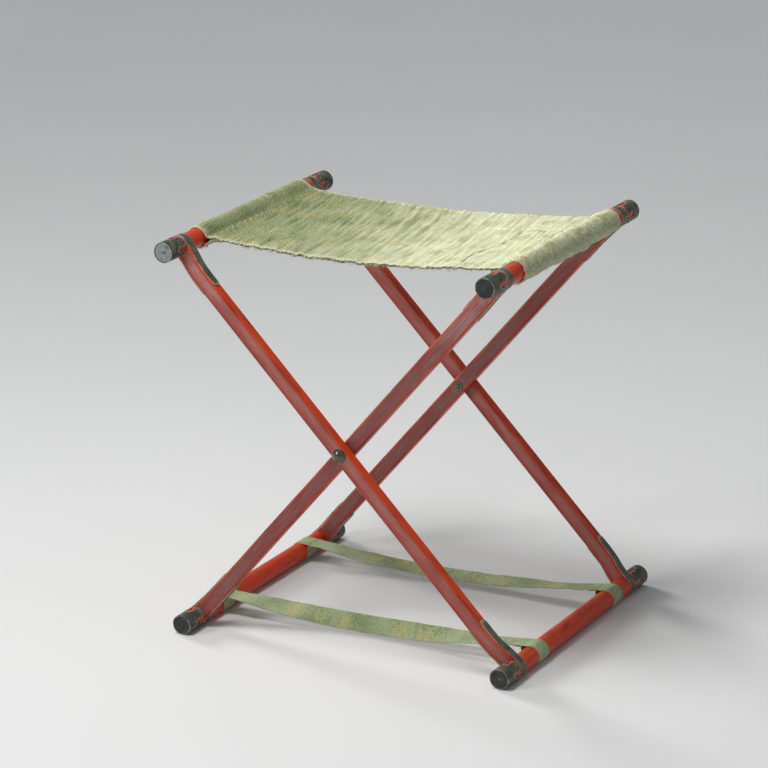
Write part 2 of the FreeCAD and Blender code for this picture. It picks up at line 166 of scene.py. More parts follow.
class Finish:
    """A material whose shader tree is written as sums; tone is its colour so far."""

    def __init__(self, name, constants):
        self.material = bpy.data.materials.new(name)
        self.material.use_nodes = True
        self.tree = self.material.node_tree
        self.surface = self.tree.nodes["Principled BSDF"]
        for socket, value in constants.items():
            self.paint(socket, value)
        self.place = self.node("ShaderNodeTexCoord", output="Object")
        self.facing = self.node("ShaderNodeTexCoord", output="Normal")
        self.tone = None

    def feed(self, socket, value):
        if isinstance(value, Value):
            self.tree.links.new(value.socket, socket)
        elif socket.type == "VECTOR" and isinstance(value, (int, float)):
            socket.default_value = (value, value, value)
        else:
            socket.default_value = value

    def node(self, kind, settings=None, inputs=None, output=0):
        made = self.tree.nodes.new(kind)
        for name, value in (settings or {}).items():
            if name == "stops":
                self.fill_ramp(made.color_ramp, value)
            else:
                setattr(made, name, value)
        for name, value in (inputs or {}).items():
            self.feed(made.inputs[name], value)
        return Value(self, made.outputs[output])

    def fill_ramp(self, ramp, greys):
        ramp.interpolation = "CONSTANT"
        for step, grey in enumerate(greys):
            stop = ramp.elements[0] if step == 0 else ramp.elements.new(step / len(greys))
            stop.color = (grey, grey, grey, 1)
        ramp.elements.remove(ramp.elements[-1])

    def maths(self, operation, *terms):
        vector = any(isinstance(t, Value) and t.socket.type == "VECTOR" for t in terms)
        kind = "ShaderNodeVectorMath" if vector else "ShaderNodeMath"
        return self.node(kind, {"operation": operation}, dict(enumerate(terms)))

    def dot(self, first, second):
        return self.node("ShaderNodeVectorMath", {"operation": "DOT_PRODUCT"}, {0: first, 1: second}, 1)

    def split(self, vector):
        return [self.node("ShaderNodeSeparateXYZ", {}, {0: vector}, axis) for axis in range(3)]

    def join(self, x, y, z):
        return self.node("ShaderNodeCombineXYZ", {}, {0: x, 1: y, 2: z})

    def cloud(self, place, grain, detail=2.0):
        """Soft noise from 0 to 1, with blotches of about the grain in metres."""
        return self.node("ShaderNodeTexNoise", {}, {"Vector": place, "Scale": 1 / grain, "Detail": detail})

    def rise(self, value, low, high):
        """Smooth step from 0 where the value is low to 1 where it is high."""
        return self.node(
            "ShaderNodeMapRange",
            {"interpolation_type": "SMOOTHSTEP"},
            {"Value": value, "From Min": low, "From Max": high},
        )

    def band(self, value, start, full, fade, end):
        """Up from 0 to 1 between start and full, and down again between fade and end."""
        return self.rise(value, start, full) * (1 - self.rise(value, fade, end))

    def mix(self, share, first, second):
        return self.node("ShaderNodeMix", {"data_type": "RGBA"}, {0: share, 6: first, 7: second}, 2)

    def lay(self, share, tint):
        """Cover the colour so far with a tint, by a share from 0 to 1."""
        self.tone = self.mix(share, self.tone, tint)

    def drawn_out(self, along, times):
        """Place squeezed along one direction, so that noise on it runs in streaks that way."""
        squeeze = self.dot(self.place, along) * (1 - 1 / times)
        pull = self.node("ShaderNodeVectorMath", {"operation": "SCALE"}, {0: along, "Scale": squeeze})
        return self.place - pull

    def paint(self, socket, value):
        self.feed(self.surface.inputs[socket], value)

    def done(self, rough, height=None, depth=0):
        """Paint the colour so far, and raise the surface by the height, from 0 to 1, times the depth."""
        self.paint("Base Color", self.tone)
        self.paint("Roughness", rough)
        if depth:
            self.paint("Normal", self.node("ShaderNodeBump", {}, {"Height": height, "Distance": depth}))


def colour(red, green, blue):
    """Linear colour from the 0 to 255 values that a picture shows."""
    shares = [c / 255 for c in (red, green, blue)]
    return tuple(s / 12.92 if s < 0.04045 else ((s + 0.055) / 1.055) ** 2.4 for s in shares) + (1.0,)


def coat_with(names, finish):
    for name in names:
        piece = nodes[name]
        piece.data.materials.clear()
        piece.data.materials.append(finish.material)


def named(start):
    return [name for name in nodes if name.startswith(start)]


print("finish tools ready")


# %% [markdown]
# ## Studio
# A pale floor runs past every view, and a pale sky gives soft light from all round. A large lamp overhead
# leaves the back legs in the shade of the seat, and a weak one stands in front. A dark studio would be
# dramatic, but a pale one shows the whole part. A far lamp low on the left rakes over the seat, so that every
# pleat shows and the right half of the panel, which faces it, is the brighter one.

# %% Light the studio
FLOOR_RADIUS = 12.0
FLOOR_SIDES = 96
FLOOR_BLOTCH = 0.6
FLOOR_GREY, FLOOR_PALE = colour(222, 222, 220), colour(228, 228, 227)
SKY_COLOUR = (0.93, 0.95, 1.0, 1)
SKY_STRENGTH = 0.28
SEAT_SPOT = Vector((0, 0, top_z))

bpy.ops.mesh.primitive_circle_add(vertices=FLOOR_SIDES, radius=FLOOR_RADIUS, fill_type="NGON")
floor = bpy.context.object
floor.name = "floor"
floor_paint = Finish("floor paint", {"Specular IOR Level": 0.2})
floor_cloud = floor_paint.cloud(floor_paint.place, FLOOR_BLOTCH)
floor_paint.tone = floor_paint.mix(floor_cloud, FLOOR_GREY, FLOOR_PALE)
floor_paint.done(0.6 + 0.1 * floor_cloud)
floor.data.materials.append(floor_paint.material)

sky = bpy.data.worlds.new("sky")
sky.use_nodes = True
sky_light = sky.node_tree.nodes["Background"]
sky_light.inputs["Color"].default_value = SKY_COLOUR
sky_light.inputs["Strength"].default_value = SKY_STRENGTH
bpy.context.scene.world = sky


def lamp(name, place, kind, power, soft):
    """A lamp aimed at the seat: a round one soft metres wide, or a far one spread over soft radians."""
    light = bpy.data.lights.new(name, kind)
    light.energy = power
    if kind == "AREA":
        light.shape = "DISK"
        light.size = soft
    else:
        light.angle = soft
    holder = bpy.data.objects.new(name, light)
    aim = (SEAT_SPOT - Vector(place)).to_track_quat("-Z", "Y")
    holder.matrix_world = Matrix.Translation(place) @ aim.to_matrix().to_4x4()
    holder.visible_camera = False
    bpy.context.collection.objects.link(holder)


lamp("overhead lamp", place=(-0.4, -0.5, 2.3), kind="AREA", power=25, soft=0.8)
lamp("raking lamp", place=(-2.1, 0.8, 1.3), kind="SUN", power=1.8, soft=0.25)
lamp("front lamp", place=(-1.5, -1.9, 1.2), kind="AREA", power=20, soft=0.8)
print("floor", FLOOR_RADIUS, "m, three lamps and a sky")


# %% [markdown]
# ## Lacquer
# Vermilion over wood, worn by handling. The rails stay bright, apart from their ends, where pale rubs and old
# dirt show between the tongues of the caps. The broad faces of the legs are dulled as painted shade, under a
# pink or grey film that is partly a painted sheen and paler near the top as a painted highlight. Their narrow
# faces are given painted light where they face up and painted shade, a deep red, where they face down; the
# inner legs are darker all over as painted shade, and the bevels are a purer orange, rubbed and partly a
# painted highlight.
# A picture of old lacquer would show seams and stretch on the bends. Noise drawn out along a piece does
# neither, so each of the three directions of grain gets a finish of its own.

# %% Mix the lacquer
VERMILION = colour(208, 66, 26)
DEEP_RED = colour(138, 34, 15)
DULL_SHADED_RED = colour(142, 54, 45)
PAINTED_LIT_RED = colour(222, 80, 34)
PINK_FILM_AND_SHEEN = colour(166, 112, 105)
SHADED_GREY_FILM = colour(120, 92, 90)
PAINTED_HIGHLIGHT_FILM = colour(204, 160, 156)
EDGE_RUB_AND_HIGHLIGHT = colour(216, 98, 56)
OLD_DIRT = colour(60, 24, 16)
RUBBED_PALE = colour(176, 140, 126)
CHIPPED = colour(212, 122, 78)
HIGHLIGHT_BELOW, HIGHLIGHT_FULL = top_z - 110 * MM, top_z - 30 * MM
WASHER_RUB = (7.4 * MM, 8.2 * MM, 8.8 * MM, 10.5 * MM)
CAP_START, CAP_FULL = rail_end - 34 * MM, rail_end - 30 * MM


class Lacquer(Finish):
    """Lacquer on pieces that run one way; the higher wear_and_shade is, the more of it is deep red, from wear
    and, on the inner legs, partly from painted shade.
    """

    def __init__(self, name, along, wear_and_shade):
        super().__init__(name, {"Specular IOR Level": 0.22, "Coat Weight": 0.06, "Coat Roughness": 0.12})
        self.along = along
        self.streaks = self.cloud(self.drawn_out(along, 16), 2.2 * MM, 3)
        self.blotches = self.cloud(self.drawn_out(along, 3), 16 * MM, 4)
        self.specks = self.cloud(self.place, 1.5 * MM, 2)
        self.hairlines = self.cloud(self.drawn_out(along, 40), 0.8 * MM, 2)
        bright = self.rise(self.blotches * 0.75 + self.streaks * 0.25, wear_and_shade - 0.24, wear_and_shade)
        self.tone = self.mix(bright, DEEP_RED, VERMILION)
        self.rough = 0.26 + self.streaks * 0.14

    def rub_ends(self):
        """Pale rubs and old dirt on the ends of a rail, under the caps."""
        under_cap = self.rise(abs(self.dot(self.place, self.along)), CAP_START, CAP_FULL)
        rubbed = self.cloud(self.place, 3.5 * MM, 3)
        self.lay(under_cap * self.rise(rubbed, 0.48, 0.62) * 0.6, RUBBED_PALE)
        self.lay(under_cap * (1 - self.rise(rubbed, 0.36, 0.48)) * 0.7, OLD_DIRT)

    def paint_faces_light_and_film(self, half, shift, tint):
        """Painted light and shade on the faces of a leg, and a film, partly a painted sheen, on its broad
        faces, half as wide as told and shifted beside their middle.
        """
        across = abs(self.dot(self.facing, ACROSS))
        above = self.rise(self.dot(self.facing, UP), -0.3, 0.3)
        broad = self.rise(across, 0.85, 0.98)
        narrow = 1 - self.rise(across, 0.05, 0.35)
        # Painted light and shade: the broad faces are dulled, and the narrow faces get a lighter red where
        # they face up and a deep red where they face down.
        self.lay(broad * 0.75, DULL_SHADED_RED)
        self.lay(narrow * above * 0.2, PAINTED_LIT_RED)
        self.lay(narrow * (1 - above) * 0.8, DEEP_RED)
        aside = abs(self.dot(self.place - pivot, self.along.cross(ACROSS)) + shift)
        uneven = aside + (self.streaks - 0.5) * half * 0.6
        patches = self.rise(self.blotches * 0.6 + self.streaks * 0.2 + self.specks * 0.2, 0.4, 0.6)
        # The film is partly a painted sheen, and it is paler near the top as a painted highlight.
        film_and_sheen = (1 - self.rise(uneven, half * 0.15, half)) * broad
        film_and_sheen = film_and_sheen * (0.45 + 0.55 * patches) * (0.55 + 0.45 * self.rise(self.hairlines, 0.38, 0.6))
        highlight_near_top = self.rise(self.dot(self.place, UP), HIGHLIGHT_BELOW, HIGHLIGHT_FULL)
        self.lay(film_and_sheen, self.mix(highlight_near_top * 0.5, tint, PAINTED_HIGHLIGHT_FILM))
        # The bevels are rubbed to a purer orange, and this is partly a painted highlight.
        bevel = across * across * (1 - across * across) * 4
        self.lay(bevel * self.rise(self.streaks, 0.4, 0.62) * 0.45, EDGE_RUB_AND_HIGHLIGHT)
        x, _, z = self.split(self.place - pivot)
        ring = self.band(self.maths("SQRT", x * x + z * z), *WASHER_RUB)
        self.lay(ring * broad * 0.25, RUBBED_PALE)
        self.rough = self.rough + film_and_sheen * 0.16

    def scratch(self):
        """Hairline scratches, small chips and dirty pits, which are the last layers."""
        self.lay((1 - self.rise(self.hairlines, 0.3, 0.42)) * 0.4, DEEP_RED)
        self.lay(self.rise(self.hairlines, 0.6, 0.7) * 0.3, RUBBED_PALE)
        chips = self.rise(self.cloud(self.drawn_out(self.along, 4), 2.4 * MM, 1), 0.71, 0.75)
        self.lay(chips * 0.22, CHIPPED)
        pits = self.rise(self.specks, 0.68, 0.76)
        self.lay(pits * 0.6, OLD_DIRT)
        grain = self.streaks * 0.4 + self.blotches * 0.3 + self.hairlines * 0.2
        self.done(self.rough + pits * 0.2, grain - (pits + chips) * 0.4, 0.2 * MM)


print("lacquer pales over", round((HIGHLIGHT_FULL - HIGHLIGHT_BELOW) / MM), "mm below the top rails")

# %% Lacquer the rails and the legs
rail_lacquer = Lacquer("lacquer on rails", ACROSS, wear_and_shade=0.5)
rail_lacquer.rub_ends()
rail_lacquer.scratch()
coat_with(named("rail_"), rail_lacquer)
# The inner legs get more deep red and a darker grey film than the outer legs, as painted shade.
for kind, along, wear_and_shade, half, shift, tint in (
        ("outer", leg_slope, 0.56, 10 * MM, 2 * MM, PINK_FILM_AND_SHEEN),
        ("inner", leg_rise, 0.64, 16 * MM, 0, SHADED_GREY_FILM)):
    leg_lacquer = Lacquer("lacquer on %s legs" % kind, along, wear_and_shade)
    leg_lacquer.paint_faces_light_and_film(half, shift, tint)
    leg_lacquer.scratch()
    coat_with(named("leg_" + kind), leg_lacquer)
print(len(named("rail_")), "rails and", len(named("leg_outer") + named("leg_inner")), "legs lacquered")


# %% [markdown]
# ## Metal
# The caps, end discs and straps are thin iron, blackened with a green cast and flecked with brass and rust.
# The rims are chipped, the tips of the straps are rubbed, and the discs have a pale ring at the rim that is
# rubbed and partly a painted highlight. One disc is pale blue-grey all over, for bare metal and partly a
# painted reflection of a lamp in front. One recipe serves them all: a place on a cap is told by its distance
# from the axis of its rail, which also gives the faint turned rings on the discs. The rivets are bronze,
# polished by hands, and their washers dull steel.

# %% Blacken the metal
IRON_BLACK, IRON_GREEN = colour(58, 63, 56), colour(108, 116, 99)
STRAP_DARK, STRAP_PALE = colour(74, 79, 71), colour(116, 122, 109)
DISC_BLACK, DISC_GREY = colour(38, 39, 39), colour(62, 64, 63)
IRON_BRIGHT = colour(192, 182, 164)
BARE_DISC_AND_REFLECTION = colour(160, 170, 178)
BRASS_FLECK = colour(156, 120, 66)
RUST = colour(92, 58, 38)
RING_PITCH = 2.6 * MM
TANG_TIP = (54 * MM, 62 * MM)
RIM_RUB_AND_GLINT = (9.4 * MM, 10.2 * MM)
BRIGHT_RIM = (9.2 * MM, 10 * MM)


class Metal(Finish):
    """A metal finish that knows how far each place is from the axis of the nearest rail."""

    def __init__(self, name, constants):
        super().__init__(name, {"Metallic": 0.6} | constants)
        x, self.y, z = self.split(self.place)
        on_top = self.maths("GREATER_THAN", z, (top_z + floor_z) / 2)
        aside = abs(x) - (floor_x + on_top * (top_x - floor_x))
        above = z - (floor_z + on_top * (top_z - floor_z))
        self.from_axis = self.maths("SQRT", aside * aside + above * above)
        outward = self.join(aside * self.maths("SIGN", x), 0, above) / self.from_axis
        self.outward = abs(self.dot(outward, self.facing))


def blackened(name, bright, fleck_start, shine=IRON_BRIGHT, dark=IRON_BLACK, pale=IRON_GREEN):
    """Blackened iron; bright tells from the finish where it is rubbed, from 0 to 1."""
    finish = Metal(name, {"Metallic": 0.4})
    patches = finish.cloud(finish.place, 9 * MM, 4)
    grain = finish.cloud(finish.place, 1.2 * MM, 3)
    finish.tone = finish.mix(finish.rise(patches * 0.7 + grain * 0.3, 0.32, 0.68), dark, pale)
    flecks = finish.rise(grain * 0.6 + patches * 0.4, fleck_start, fleck_start + 0.05)
    finish.lay(flecks * 0.85, BRASS_FLECK)
    rust = finish.rise(finish.cloud(finish.place, 4 * MM, 3), 0.62, 0.7)
    finish.lay(rust * 0.6, RUST)
    rubbed = bright(finish) * (0.6 + 0.4 * finish.rise(patches, 0.35, 0.55))
    finish.lay(rubbed, shine)
    rough = 0.5 + patches * 0.16 - rubbed * 0.2 + rust * 0.2
    finish.done(rough, grain * 0.6 + patches * 0.4 - flecks * 0.2, 0.2 * MM)
    return finish


def cut_edges(finish):
    on_rim = finish.rise(abs(finish.y), rail_end - 2 * MM, rail_end - MM)
    chipped = finish.rise(finish.cloud(finish.place, 6 * MM, 3), 0.42, 0.56)
    return (1 - finish.rise(finish.outward, 0.35, 0.8)) * (1 - on_rim * (1 - chipped * 0.75))


def strap_edges(finish):
    sides = finish.rise(abs(finish.dot(finish.facing, ACROSS)), 0.5, 0.9)
    return finish.maths("MAXIMUM", finish.rise(finish.from_axis, *TANG_TIP) * 0.6, sides * 0.5)


def turned_rings(finish):
    return finish.rise(finish.maths("SINE", finish.from_axis * (2 * math.pi / RING_PITCH)), 0.5, 1)


# The pale ring at the rim of each disc is rubbed metal and partly a painted highlight.
def disc_rim(finish):
    return finish.rise(finish.from_axis, *RIM_RUB_AND_GLINT) * 0.25 + turned_rings(finish) * 0.03


# The top left front disc is pale blue-grey all over: bare metal, and partly a painted reflection of a lamp in
# front.
def whole_disc(finish):
    blotches = finish.rise(finish.cloud(finish.place, 3 * MM, 4), 0.42, 0.6)
    scratches = finish.rise(finish.cloud(finish.drawn_out((0.28, 0, 0.96), 12), 0.7 * MM, 2), 0.5, 0.64)
    edge = finish.rise(finish.from_axis, *BRIGHT_RIM) * 0.3
    return 0.8 - blotches * 0.35 - scratches * 0.35 - turned_rings(finish) * 0.1 + edge


def nail_heads(finish):
    return finish.rise(finish.outward, 0.7, 1.0) * 0.5


caps, straps, discs = named("cap_sleeve"), named("leg_strap"), named("cap_disc")
nails = named("cap_nails") + named("strap_nails") + named("disc_nails")
coat_with(caps, blackened("blackened caps", cut_edges, 0.58))
coat_with(straps, blackened("blackened straps", strap_edges, 0.64, dark=STRAP_DARK, pale=STRAP_PALE))
coat_with(discs, blackened("blackened discs", disc_rim, 0.63, dark=DISC_BLACK, pale=DISC_GREY))
coat_with(["cap_disc_top_left_front"], blackened("bare disc with painted reflection", whole_disc, 0.7, shine=BARE_DISC_AND_REFLECTION))
coat_with(nails, blackened("nail iron", nail_heads, 0.56))
print(len(caps), "caps,", len(straps), "straps,", len(discs), "discs,", len(nails), "groups of nails")

# %% Polish the rivets and washers
BRONZE_DARK, BRONZE_PALE = colour(54, 57, 48), colour(102, 104, 88)
WASHER_DARK, WASHER_PALE = colour(78, 78, 68), colour(142, 140, 124)

rivet_shine = Metal("rivet bronze", {"Coat Weight": 0.3, "Coat Roughness": 0.1})
rivet_patches = rivet_shine.cloud(rivet_shine.place, 5 * MM, 4)
rivet_scratches = rivet_shine.cloud(rivet_shine.drawn_out((0.6, 0, 0.8), 9), 0.8 * MM, 2)
rivet_shine.tone = rivet_shine.mix(rivet_patches, BRONZE_DARK, BRONZE_PALE)
rivet_shine.done(0.1 + rivet_patches * 0.12 + rivet_scratches * 0.08, rivet_scratches, 0.06 * MM)
coat_with(named("pivot_rivet"), rivet_shine)

washer_steel = Metal("washer steel", {})
washer_grain = washer_steel.cloud(washer_steel.place, 1.5 * MM, 3)
washer_steel.tone = washer_steel.mix(washer_grain, WASHER_DARK, WASHER_PALE)
washer_steel.done(0.3 + washer_grain * 0.25, washer_grain, 0.1 * MM)
coat_with(named("pivot_washer"), washer_steel)
print(len(named("pivot_rivet")), "rivets,", len(named("pivot_washer")), "washers")


# %% [markdown]
# ## Brocade
# A sage green cloth of fine threads with blossoms in dull gold, each with a bud, a leaf and a twig beside it,
# all ragged from wear. They stand in columns, and every column is shifted along the cloth by its own amount.
# The ties come from another stretch of the cloth, so their columns have shifts of their own.
# A flat map of the cloth in metres, kept as a UV map, lets the pattern follow the sewn shape.

# %% Weave the blossoms
COLUMN_WIDTH = 33.6 * MM
COLUMN_MIDDLE = 2 * MM
ROW_LENGTH = 63 * MM
SEAT_DROPS = (0.80, 0.24, 0.38, 0.88, 0.52, 0.55, 0.48, 0.92, 0.28, 0.84)
TIE_DROPS = (0.06, 0.60, 0.55, 0.08, 0.52, 0.06, 0.04, 0.62, 0.56, 0.51)
THREAD = 0.55 * MM


class Weave(Finish):
    """A cloth finish that knows where it is on the flat cloth and how the threads rise there."""

    def __init__(self, name, flat=True):
        super().__init__(name, {"Sheen Weight": 0.08, "Specular IOR Level": 0.3})
        self.flat = self.node("ShaderNodeUVMap", {"uv_map": "flat"}) if flat else self.place
        self.across, self.along, _ = self.split(self.flat)
        warp = self.maths("SINE", self.across * (2 * math.pi / THREAD))
        weft = self.maths("SINE", self.along * (2 * math.pi / THREAD))
        self.threads = warp * weft * 0.5 + 0.5
        self.grit = self.cloud(self.flat, 1.5 * MM, 2)
        self.ragged = self.cloud(self.flat, 3 * MM, 3)
        self.crinkle = self.cloud(self.join(self.across, self.along * 0.16, 0), 2.6 * MM, 2)
        self.fade = self.cloud(self.flat, 40 * MM, 5)
        self.weft_runs = self.cloud(self.join(self.across * 0.22, self.along, 0), 1.3 * MM, 2)

    def petals(self, x, y, radius, lobes):
        away = self.maths("SQRT", x * x + y * y)
        around = self.maths("ARCTAN2", y, x)
        ragged = (self.ragged - 0.5) * 13 * MM + (self.weft_runs - 0.5) * 9 * MM
        edge = radius * (0.86 + 0.14 * self.maths("COSINE", around * lobes)) + ragged
        return 1 - self.rise(away - edge, -2.4 * MM, 1.6 * MM)

    def blossoms(self, drops):
        column = self.maths("FLOOR", (self.across - COLUMN_MIDDLE) / COLUMN_WIDTH + 0.5)
        x = self.across - COLUMN_MIDDLE - column * COLUMN_WIDTH
        place = self.maths("FLOORED_MODULO", column, len(drops)) + 0.5
        drop = self.node("ShaderNodeValToRGB", {"stops": drops}, {0: place / len(drops)})
        row = self.maths("FRACT", self.along / ROW_LENGTH - drop + 0.5) - 0.5
        y = row * ROW_LENGTH
        blossom = self.petals(x + 3 * MM, y, (2 + 17 * self.fade) * MM, 5)
        heart = self.petals(x + 3 * MM, y, 2.4 * MM, 4)
        bud = self.petals(x - 12.5 * MM, y + 2 * MM, 3.4 * MM, 3) * 0.7
        leaf = self.petals((x - 8 * MM) * 0.55, (y - 17 * MM) * 1.3, 3 * MM, 2) * 0.6
        twig = self.petals((x + 9 * MM) * 1.2, (y + 19 * MM) * 0.5, 2.6 * MM, 2) * 0.5
        beside = self.maths("MAXIMUM", bud, self.maths("MAXIMUM", leaf, twig))
        threadbare = 0.4 + 0.6 * self.rise(self.weft_runs, 0.34, 0.6)
        faded = 0.55 + 0.45 * self.rise(self.fade, 0.35, 0.6)
        return self.maths("MAXIMUM", blossom - heart * 0.35, beside) * (threadbare * faded)


print(len(SEAT_DROPS), "columns of blossoms,", round(ROW_LENGTH / MM), "mm between rows")

# %% [markdown]
# The seat has aged more than the ties. It grows paler towards the right, partly bleached and partly as
# painted light, is frayed pale along its front and back edges, puckered on the right sleeve and given painted
# shade on the sleeve's lower half, and cracked near the right side. Cutting the mesh along the crack would
# leave loose edges, so all this is drawn on the flat map.

# %% Age the brocade
SAGE, PALE_SAGE = colour(120, 133, 68), colour(245, 247, 204)
DULL_GOLD, PALE_GOLD = colour(184, 154, 60), colour(204, 182, 100)
TIE_GREEN, PALE_TIE = colour(152, 170, 122), colour(182, 196, 150)
TIE_GOLD = colour(236, 218, 128)
SHADED_GREEN = colour(96, 112, 66)
CREASE_BROWN = colour(46, 46, 28)
FRAYED_CREAM = colour(238, 238, 206)
BLEACH_AND_LIGHT_SPAN, BLEACH_AND_LIGHT_WANDER = (-150 * MM, 110 * MM), 90 * MM
PUCKERED = (168 * MM, 182 * MM)
SLEEVE_SHADE = (190 * MM, 216 * MM)
CRACK_ACROSS, CRACK_BOW = 118 * MM, 6 * MM
CRACK_CREST, CRACK_WAVE = 32 * MM, 137 * MM
CRACK_GAPES = -72 * MM
CRACK_STOPS = (56 * MM, 60 * MM)
SIDE_CRACK = 58 * MM
SIDE_SPAN = (126 * MM, 130 * MM, 146 * MM, 154 * MM)
seat_front, seat_back = (corner[1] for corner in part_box("seat_panel"))


def fray(weave):
    """Pale broken threads along the front and back edges of the seat."""
    past_edge = abs(weave.along - (seat_front + seat_back) / 2) - (seat_back - seat_front) / 2
    frayed = weave.rise(past_edge + (weave.ragged - 0.5) * 14 * MM, -9 * MM, 0)
    frayed = frayed * (0.3 + 0.7 * weave.rise(weave.grit, 0.44, 0.58))
    weave.lay(frayed * 0.85, FRAYED_CREAM)


def shade_sleeve(weave):
    """Painted shade on the lower half of the right sleeve."""
    below = weave.rise(weave.across, *SLEEVE_SHADE) * (0.4 + 0.6 * weave.rise(weave.ragged, 0.4, 0.6))
    weave.lay(below * 0.55, SHADED_GREEN)


def crack(weave):
    """A long bowed crack with pale lips, which gapes near the front, and a short one to its right."""
    jitter = (weave.cloud(weave.flat, 14 * MM) - 0.5) * 4 * MM
    bow = weave.maths("COSINE", (weave.along - CRACK_CREST) * (2 * math.pi / CRACK_WAVE)) * CRACK_BOW
    gaping = 1 - weave.rise(abs(weave.along - CRACK_GAPES), 4 * MM, 14 * MM)
    width = (0.25 + weave.ragged * 0.5 + gaping * 0.9) * MM
    broken = 0.75 + 0.25 * weave.rise(weave.cloud(weave.flat, 9 * MM), 0.4, 0.52)
    before_stop = 1 - weave.rise(weave.along, *CRACK_STOPS)
    past_side = abs(weave.across - CRACK_ACROSS - bow - jitter) - width
    lips = (1 - weave.rise(past_side + weave.ragged * 2 * MM, 0.6 * MM, 3 * MM)) * before_stop
    weave.lay(lips * 0.5, FRAYED_CREAM)
    long_crack = (1 - weave.rise(past_side, 0, 0.7 * MM)) * broken * before_stop
    side_crack = 1 - weave.rise(abs(weave.along - SIDE_CRACK - jitter) - width * 2, 0, 1.2 * MM)
    side_crack = side_crack * weave.band(weave.across, *SIDE_SPAN) * broken
    weave.lay(weave.maths("MAXIMUM", long_crack, side_crack * 0.8) * 0.9, CREASE_BROWN)


def brocade(name, ground, faded, blossom, drops, aged_with_painted_light):
    """Sage cloth with gold blossoms; aged_with_painted_light adds what years of sitting did to the seat, with
    painted light and shade.
    """
    weave = Weave(name)
    gold = weave.blossoms(drops) * (0.7 + 0.3 * weave.rise(weave.grit, 0.42, 0.56))
    bleach_and_light = weave.rise(weave.fade * 0.6 + weave.ragged * 0.4, 0.38, 0.6)
    # On the seat the tone grows paler to the right, partly as bleaching and partly as painted light.
    if aged_with_painted_light:
        to_right = weave.across + (weave.fade - 0.5) * BLEACH_AND_LIGHT_WANDER
        bleach_and_light = bleach_and_light * 0.2 + 0.8 * weave.rise(to_right, *BLEACH_AND_LIGHT_SPAN)
    weave.tone = weave.mix(bleach_and_light, ground, faded)
    shade = weave.mix(bleach_and_light * 0.55, SHADED_GREEN, faded)
    weave.lay(gold, weave.mix(bleach_and_light * 0.7, blossom, PALE_GOLD))
    weave.lay(weave.rise(weave.grit, 0.5, 0.68) * 0.45, shade)
    # Painted shade darkens the valleys of the crinkles and the gaps between the threads.
    weave.lay((1 - weave.rise(weave.crinkle, 0.3, 0.45)) * 0.35, shade)
    weave.lay((1 - weave.threads) * 0.2, shade)
    weave.lay(weave.rise(weave.grit, 0.52, 0.62) * 0.45, faded)
    weave.lay((1 - weave.rise(weave.grit, 0.38, 0.47)) * 0.7, shade)
    height = weave.threads * 0.2 + weave.grit * 0.7 + weave.crinkle * 1.6 + gold * 0.2
    if aged_with_painted_light:
        height = height + weave.cloud(weave.flat, 4 * MM, 3) * weave.rise(weave.across, *PUCKERED) * 2.4
        fray(weave)
        shade_sleeve(weave)
        crack(weave)
    weave.done(0.72 - gold * 0.2, height, 0.85 * MM)
    return weave


seat_brocade = brocade("seat brocade", SAGE, PALE_SAGE, DULL_GOLD, SEAT_DROPS, aged_with_painted_light=True)
tie_brocade = brocade("tie brocade", TIE_GREEN, PALE_TIE, TIE_GOLD, TIE_DROPS, aged_with_painted_light=False)
print("crack", round(CRACK_ACROSS / MM), "mm to the right of the middle")

# %% [markdown]
# The lining is a plain pale cloth, and the cut edges show the worn threads of both, in a hem tone darkened as
# painted shade. A hem crosses the border of the flat map, so its threads are placed by the space around it.

# %% Weave the lining and the hem
LINING_COLOURS = colour(196, 194, 168), colour(220, 216, 192), colour(180, 176, 140)
# The hem tones are darkened as painted shade on the cut edges.
HEM_SHADE_COLOURS = colour(80, 84, 56), colour(136, 142, 102), colour(212, 210, 170)


def plain_cloth(name, ground, pale, fleck, flat):
    weave = Weave(name, flat)
    weave.tone = weave.mix(weave.rise(weave.grit * 0.6 + weave.ragged * 0.4, 0.38, 0.62), ground, pale)
    weave.lay(weave.rise(weave.ragged * 0.5 + weave.grit * 0.5, 0.5, 0.58) * 0.8, fleck)
    height = weave.threads * 0.4 + weave.grit * 0.4 + weave.ragged * 0.6
    weave.done(0.9 + weave.threads * 0.08, height, 0.4 * MM)
    return weave


lining = plain_cloth("pale lining", *LINING_COLOURS, flat=True)
hem = plain_cloth("worn hem in painted shade", *HEM_SHADE_COLOURS, flat=False)
print("lining and hem of", round(THREAD / MM, 2), "mm threads")


# %% [markdown]
# ## Cloth sewn round two rails
# Seat and ties are the same thing in two sizes: a cloth that starts under the stitches, goes the long way
# round one rail, comes back over the stitches, hangs to the other side and goes round the other rail.
# A cloth simulation would find this shape slowly and end slightly elsewhere each time. A line of points
# drawn once round the rails and repeated across the cloth gives it directly, and keeps the flat length.

# %% Draw the line of a sewn cloth
FLAP = 9 * MM
RAIL_GAP = 0.1 * MM
SEAM_GAP = 0.05 * MM
FLAP_POINTS = 6
LOOP_POINTS = 30
STRAIGHT_POINTS = 7


def between(low, high, value):
    """Smooth step from 0 at low to 1 at high."""
    share = np.clip((value - low) / (high - low), 0, 1)
    return share * share * (3 - 2 * share)


